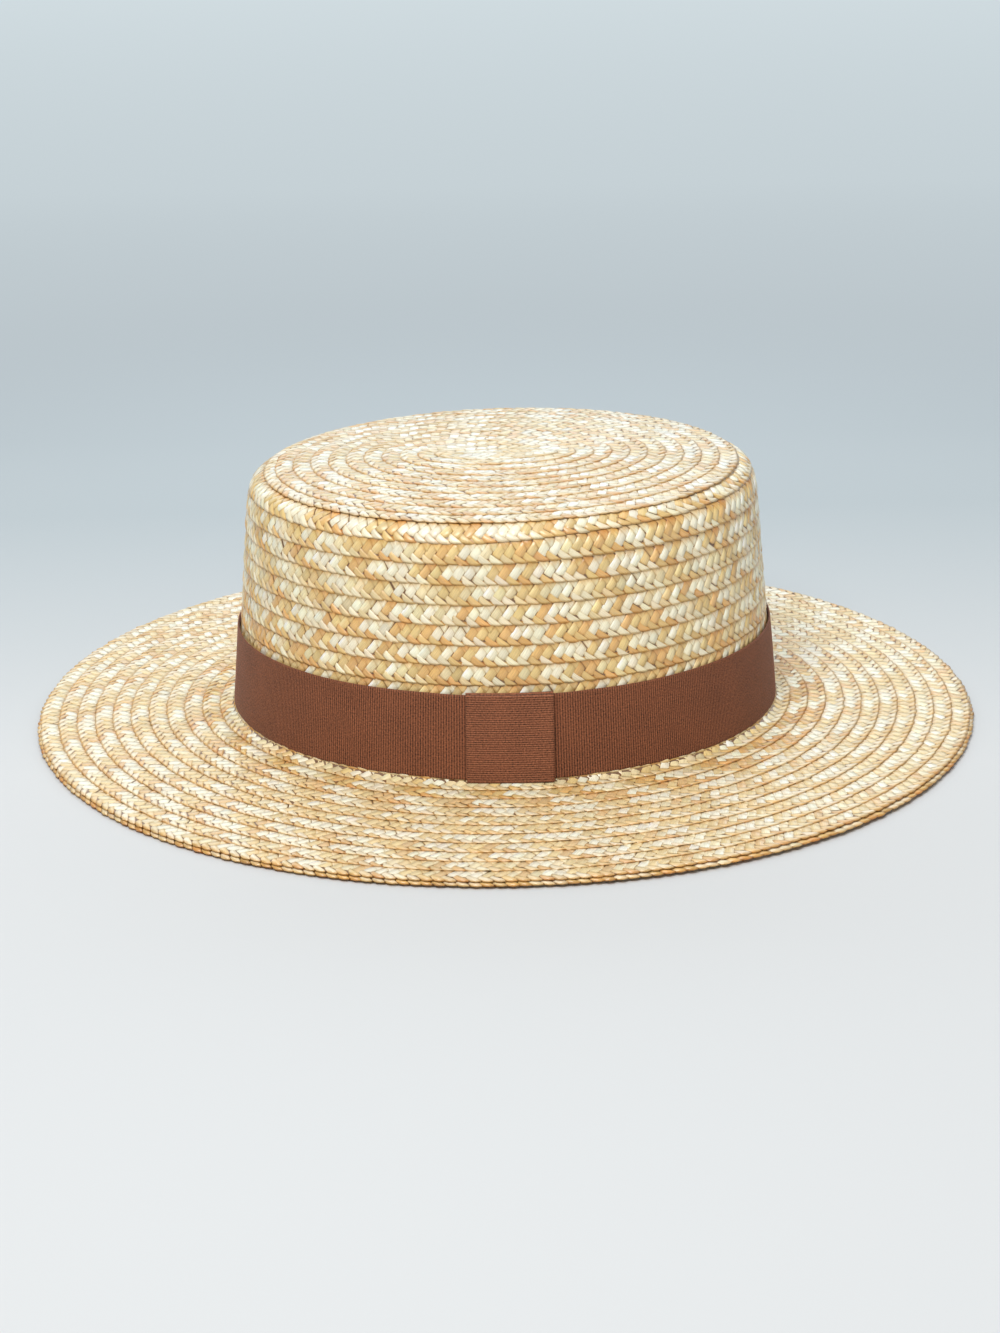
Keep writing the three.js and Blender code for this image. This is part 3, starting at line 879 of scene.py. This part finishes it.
def floor_piece():
    """A plain pale floor, greyer behind the hat; far out it glows evenly with painted light instead of being lit."""
    size = 80.0
    me = bpy.data.meshes.new("floor")
    me.from_pydata([(-size, -size, 0), (size, -size, 0), (size, size, 0), (-size, size, 0)], [], [(0, 1, 2, 3)])
    ob = bpy.data.objects.new("floor", me)
    bpy.context.scene.collection.objects.link(ob)
    mat, nt, bsdf = new_material("floor")
    geo = nt.nodes.new("ShaderNodeNewGeometry")
    sep = nt.nodes.new("ShaderNodeSeparateXYZ")
    nt.links.new(geo.outputs["Position"], sep.inputs[0])
    ramp = nt.nodes.new("ShaderNodeMapRange")
    ramp.inputs["From Min"].default_value = -0.06
    ramp.inputs["From Max"].default_value = 0.24
    nt.links.new(sep.outputs["Y"], ramp.inputs["Value"])
    mix = nt.nodes.new("ShaderNodeMix")
    mix.data_type = "RGBA"
    nt.links.new(ramp.outputs[0], mix.inputs["Factor"])
    mix.inputs["A"].default_value = (0.645, 0.662, 0.675, 1)
    mix.inputs["B"].default_value = (0.44, 0.49, 0.515, 1)
    # painted light: from 0.24 m out the floor's own colour fades to near black and it glows instead
    away = nt.nodes.new("ShaderNodeVectorMath")
    away.operation = "LENGTH"
    nt.links.new(geo.outputs["Position"], away.inputs[0])
    far = nt.nodes.new("ShaderNodeMapRange")
    far.interpolation_type = "SMOOTHSTEP"
    far.inputs["From Min"].default_value = 0.24
    far.inputs["From Max"].default_value = 0.72
    nt.links.new(away.outputs["Value"], far.inputs["Value"])
    base = nt.nodes.new("ShaderNodeMix")
    base.data_type = "RGBA"
    nt.links.new(far.outputs[0], base.inputs["Factor"])
    nt.links.new(mix.outputs["Result"], base.inputs["A"])
    base.inputs["B"].default_value = (0.03, 0.03, 0.03, 1)
    nt.links.new(base.outputs["Result"], bsdf.inputs["Base Color"])
    span = nt.nodes.new("ShaderNodeMapRange")
    span.inputs["From Min"].default_value = -0.5
    span.inputs["From Max"].default_value = 2.1
    nt.links.new(sep.outputs["Y"], span.inputs["Value"])
    # painted light: the glow's colour along Y, darker just behind the hat, paler in front and far back
    painted_glow = nt.nodes.new("ShaderNodeValToRGB")
    stops = [(0.0, (0.72, 0.745, 0.755)), (0.20, (0.70, 0.725, 0.735)), (0.33, (0.385, 0.44, 0.475)),
             (0.58, (0.525, 0.597, 0.632)),
             (1.0, (0.60, 0.68, 0.715))]
    painted_glow.color_ramp.elements[0].position = stops[0][0]
    painted_glow.color_ramp.elements[1].position = stops[-1][0]
    painted_glow.color_ramp.elements[0].color = (*stops[0][1], 1)
    painted_glow.color_ramp.elements[1].color = (*stops[-1][1], 1)
    for at, col in stops[1:-1]:
        painted_glow.color_ramp.elements.new(at).color = (*col, 1)
    nt.links.new(span.outputs[0], painted_glow.inputs[0])
    nt.links.new(painted_glow.outputs["Color"], bsdf.inputs["Emission Color"])
    nt.links.new(far.outputs[0], bsdf.inputs["Emission Strength"])
    bsdf.inputs["Roughness"].default_value = 0.8
    me.materials.append(mat)
    return ob


floor_piece()


def area(name, at, look, size, power, colour=(1, 1, 1)):
    d = bpy.data.lights.new(name, "AREA")
    d.shape = "RECTANGLE"
    d.size, d.size_y = size
    d.energy = power
    d.color = colour
    o = bpy.data.objects.new(name, d)
    bpy.context.scene.collection.objects.link(o)
    o.location = at
    o.visible_camera = False
    o.rotation_mode = "QUATERNION"
    o.rotation_quaternion = (Vector(look) - Vector(at)).to_track_quat("-Z", "Y")
    return o


area("key", (-0.27, -0.97, 1.42), (0, 0, 0.03), (0.9, 0.7), 22.2, (1.0, 0.98, 0.955))
area("fill", (1.25, -1.0, 0.8), (0, 0, 0.03), (1.1, 1.1), 2.1, (1.0, 0.94, 0.86))
area("top", (-0.1, 0.20, 1.5), (0, 0.0, 0.05), (1.9, 1.3), 8.0, (0.80, 0.91, 1.0))
area("back", (0.0, 0.66, 0.43), (0, 0.0, 0.05), (1.8, 0.34), 3.6, (0.88, 0.95, 1.0))

world = bpy.data.worlds.new("world")
bpy.context.scene.world = world
world.use_nodes = True
world.node_tree.nodes["Background"].inputs[0].default_value = (0.88, 0.86, 0.82, 1)
world.node_tree.nodes["Background"].inputs[1].default_value = 0.27

scene = bpy.context.scene
scene.view_settings.view_transform = "Standard"
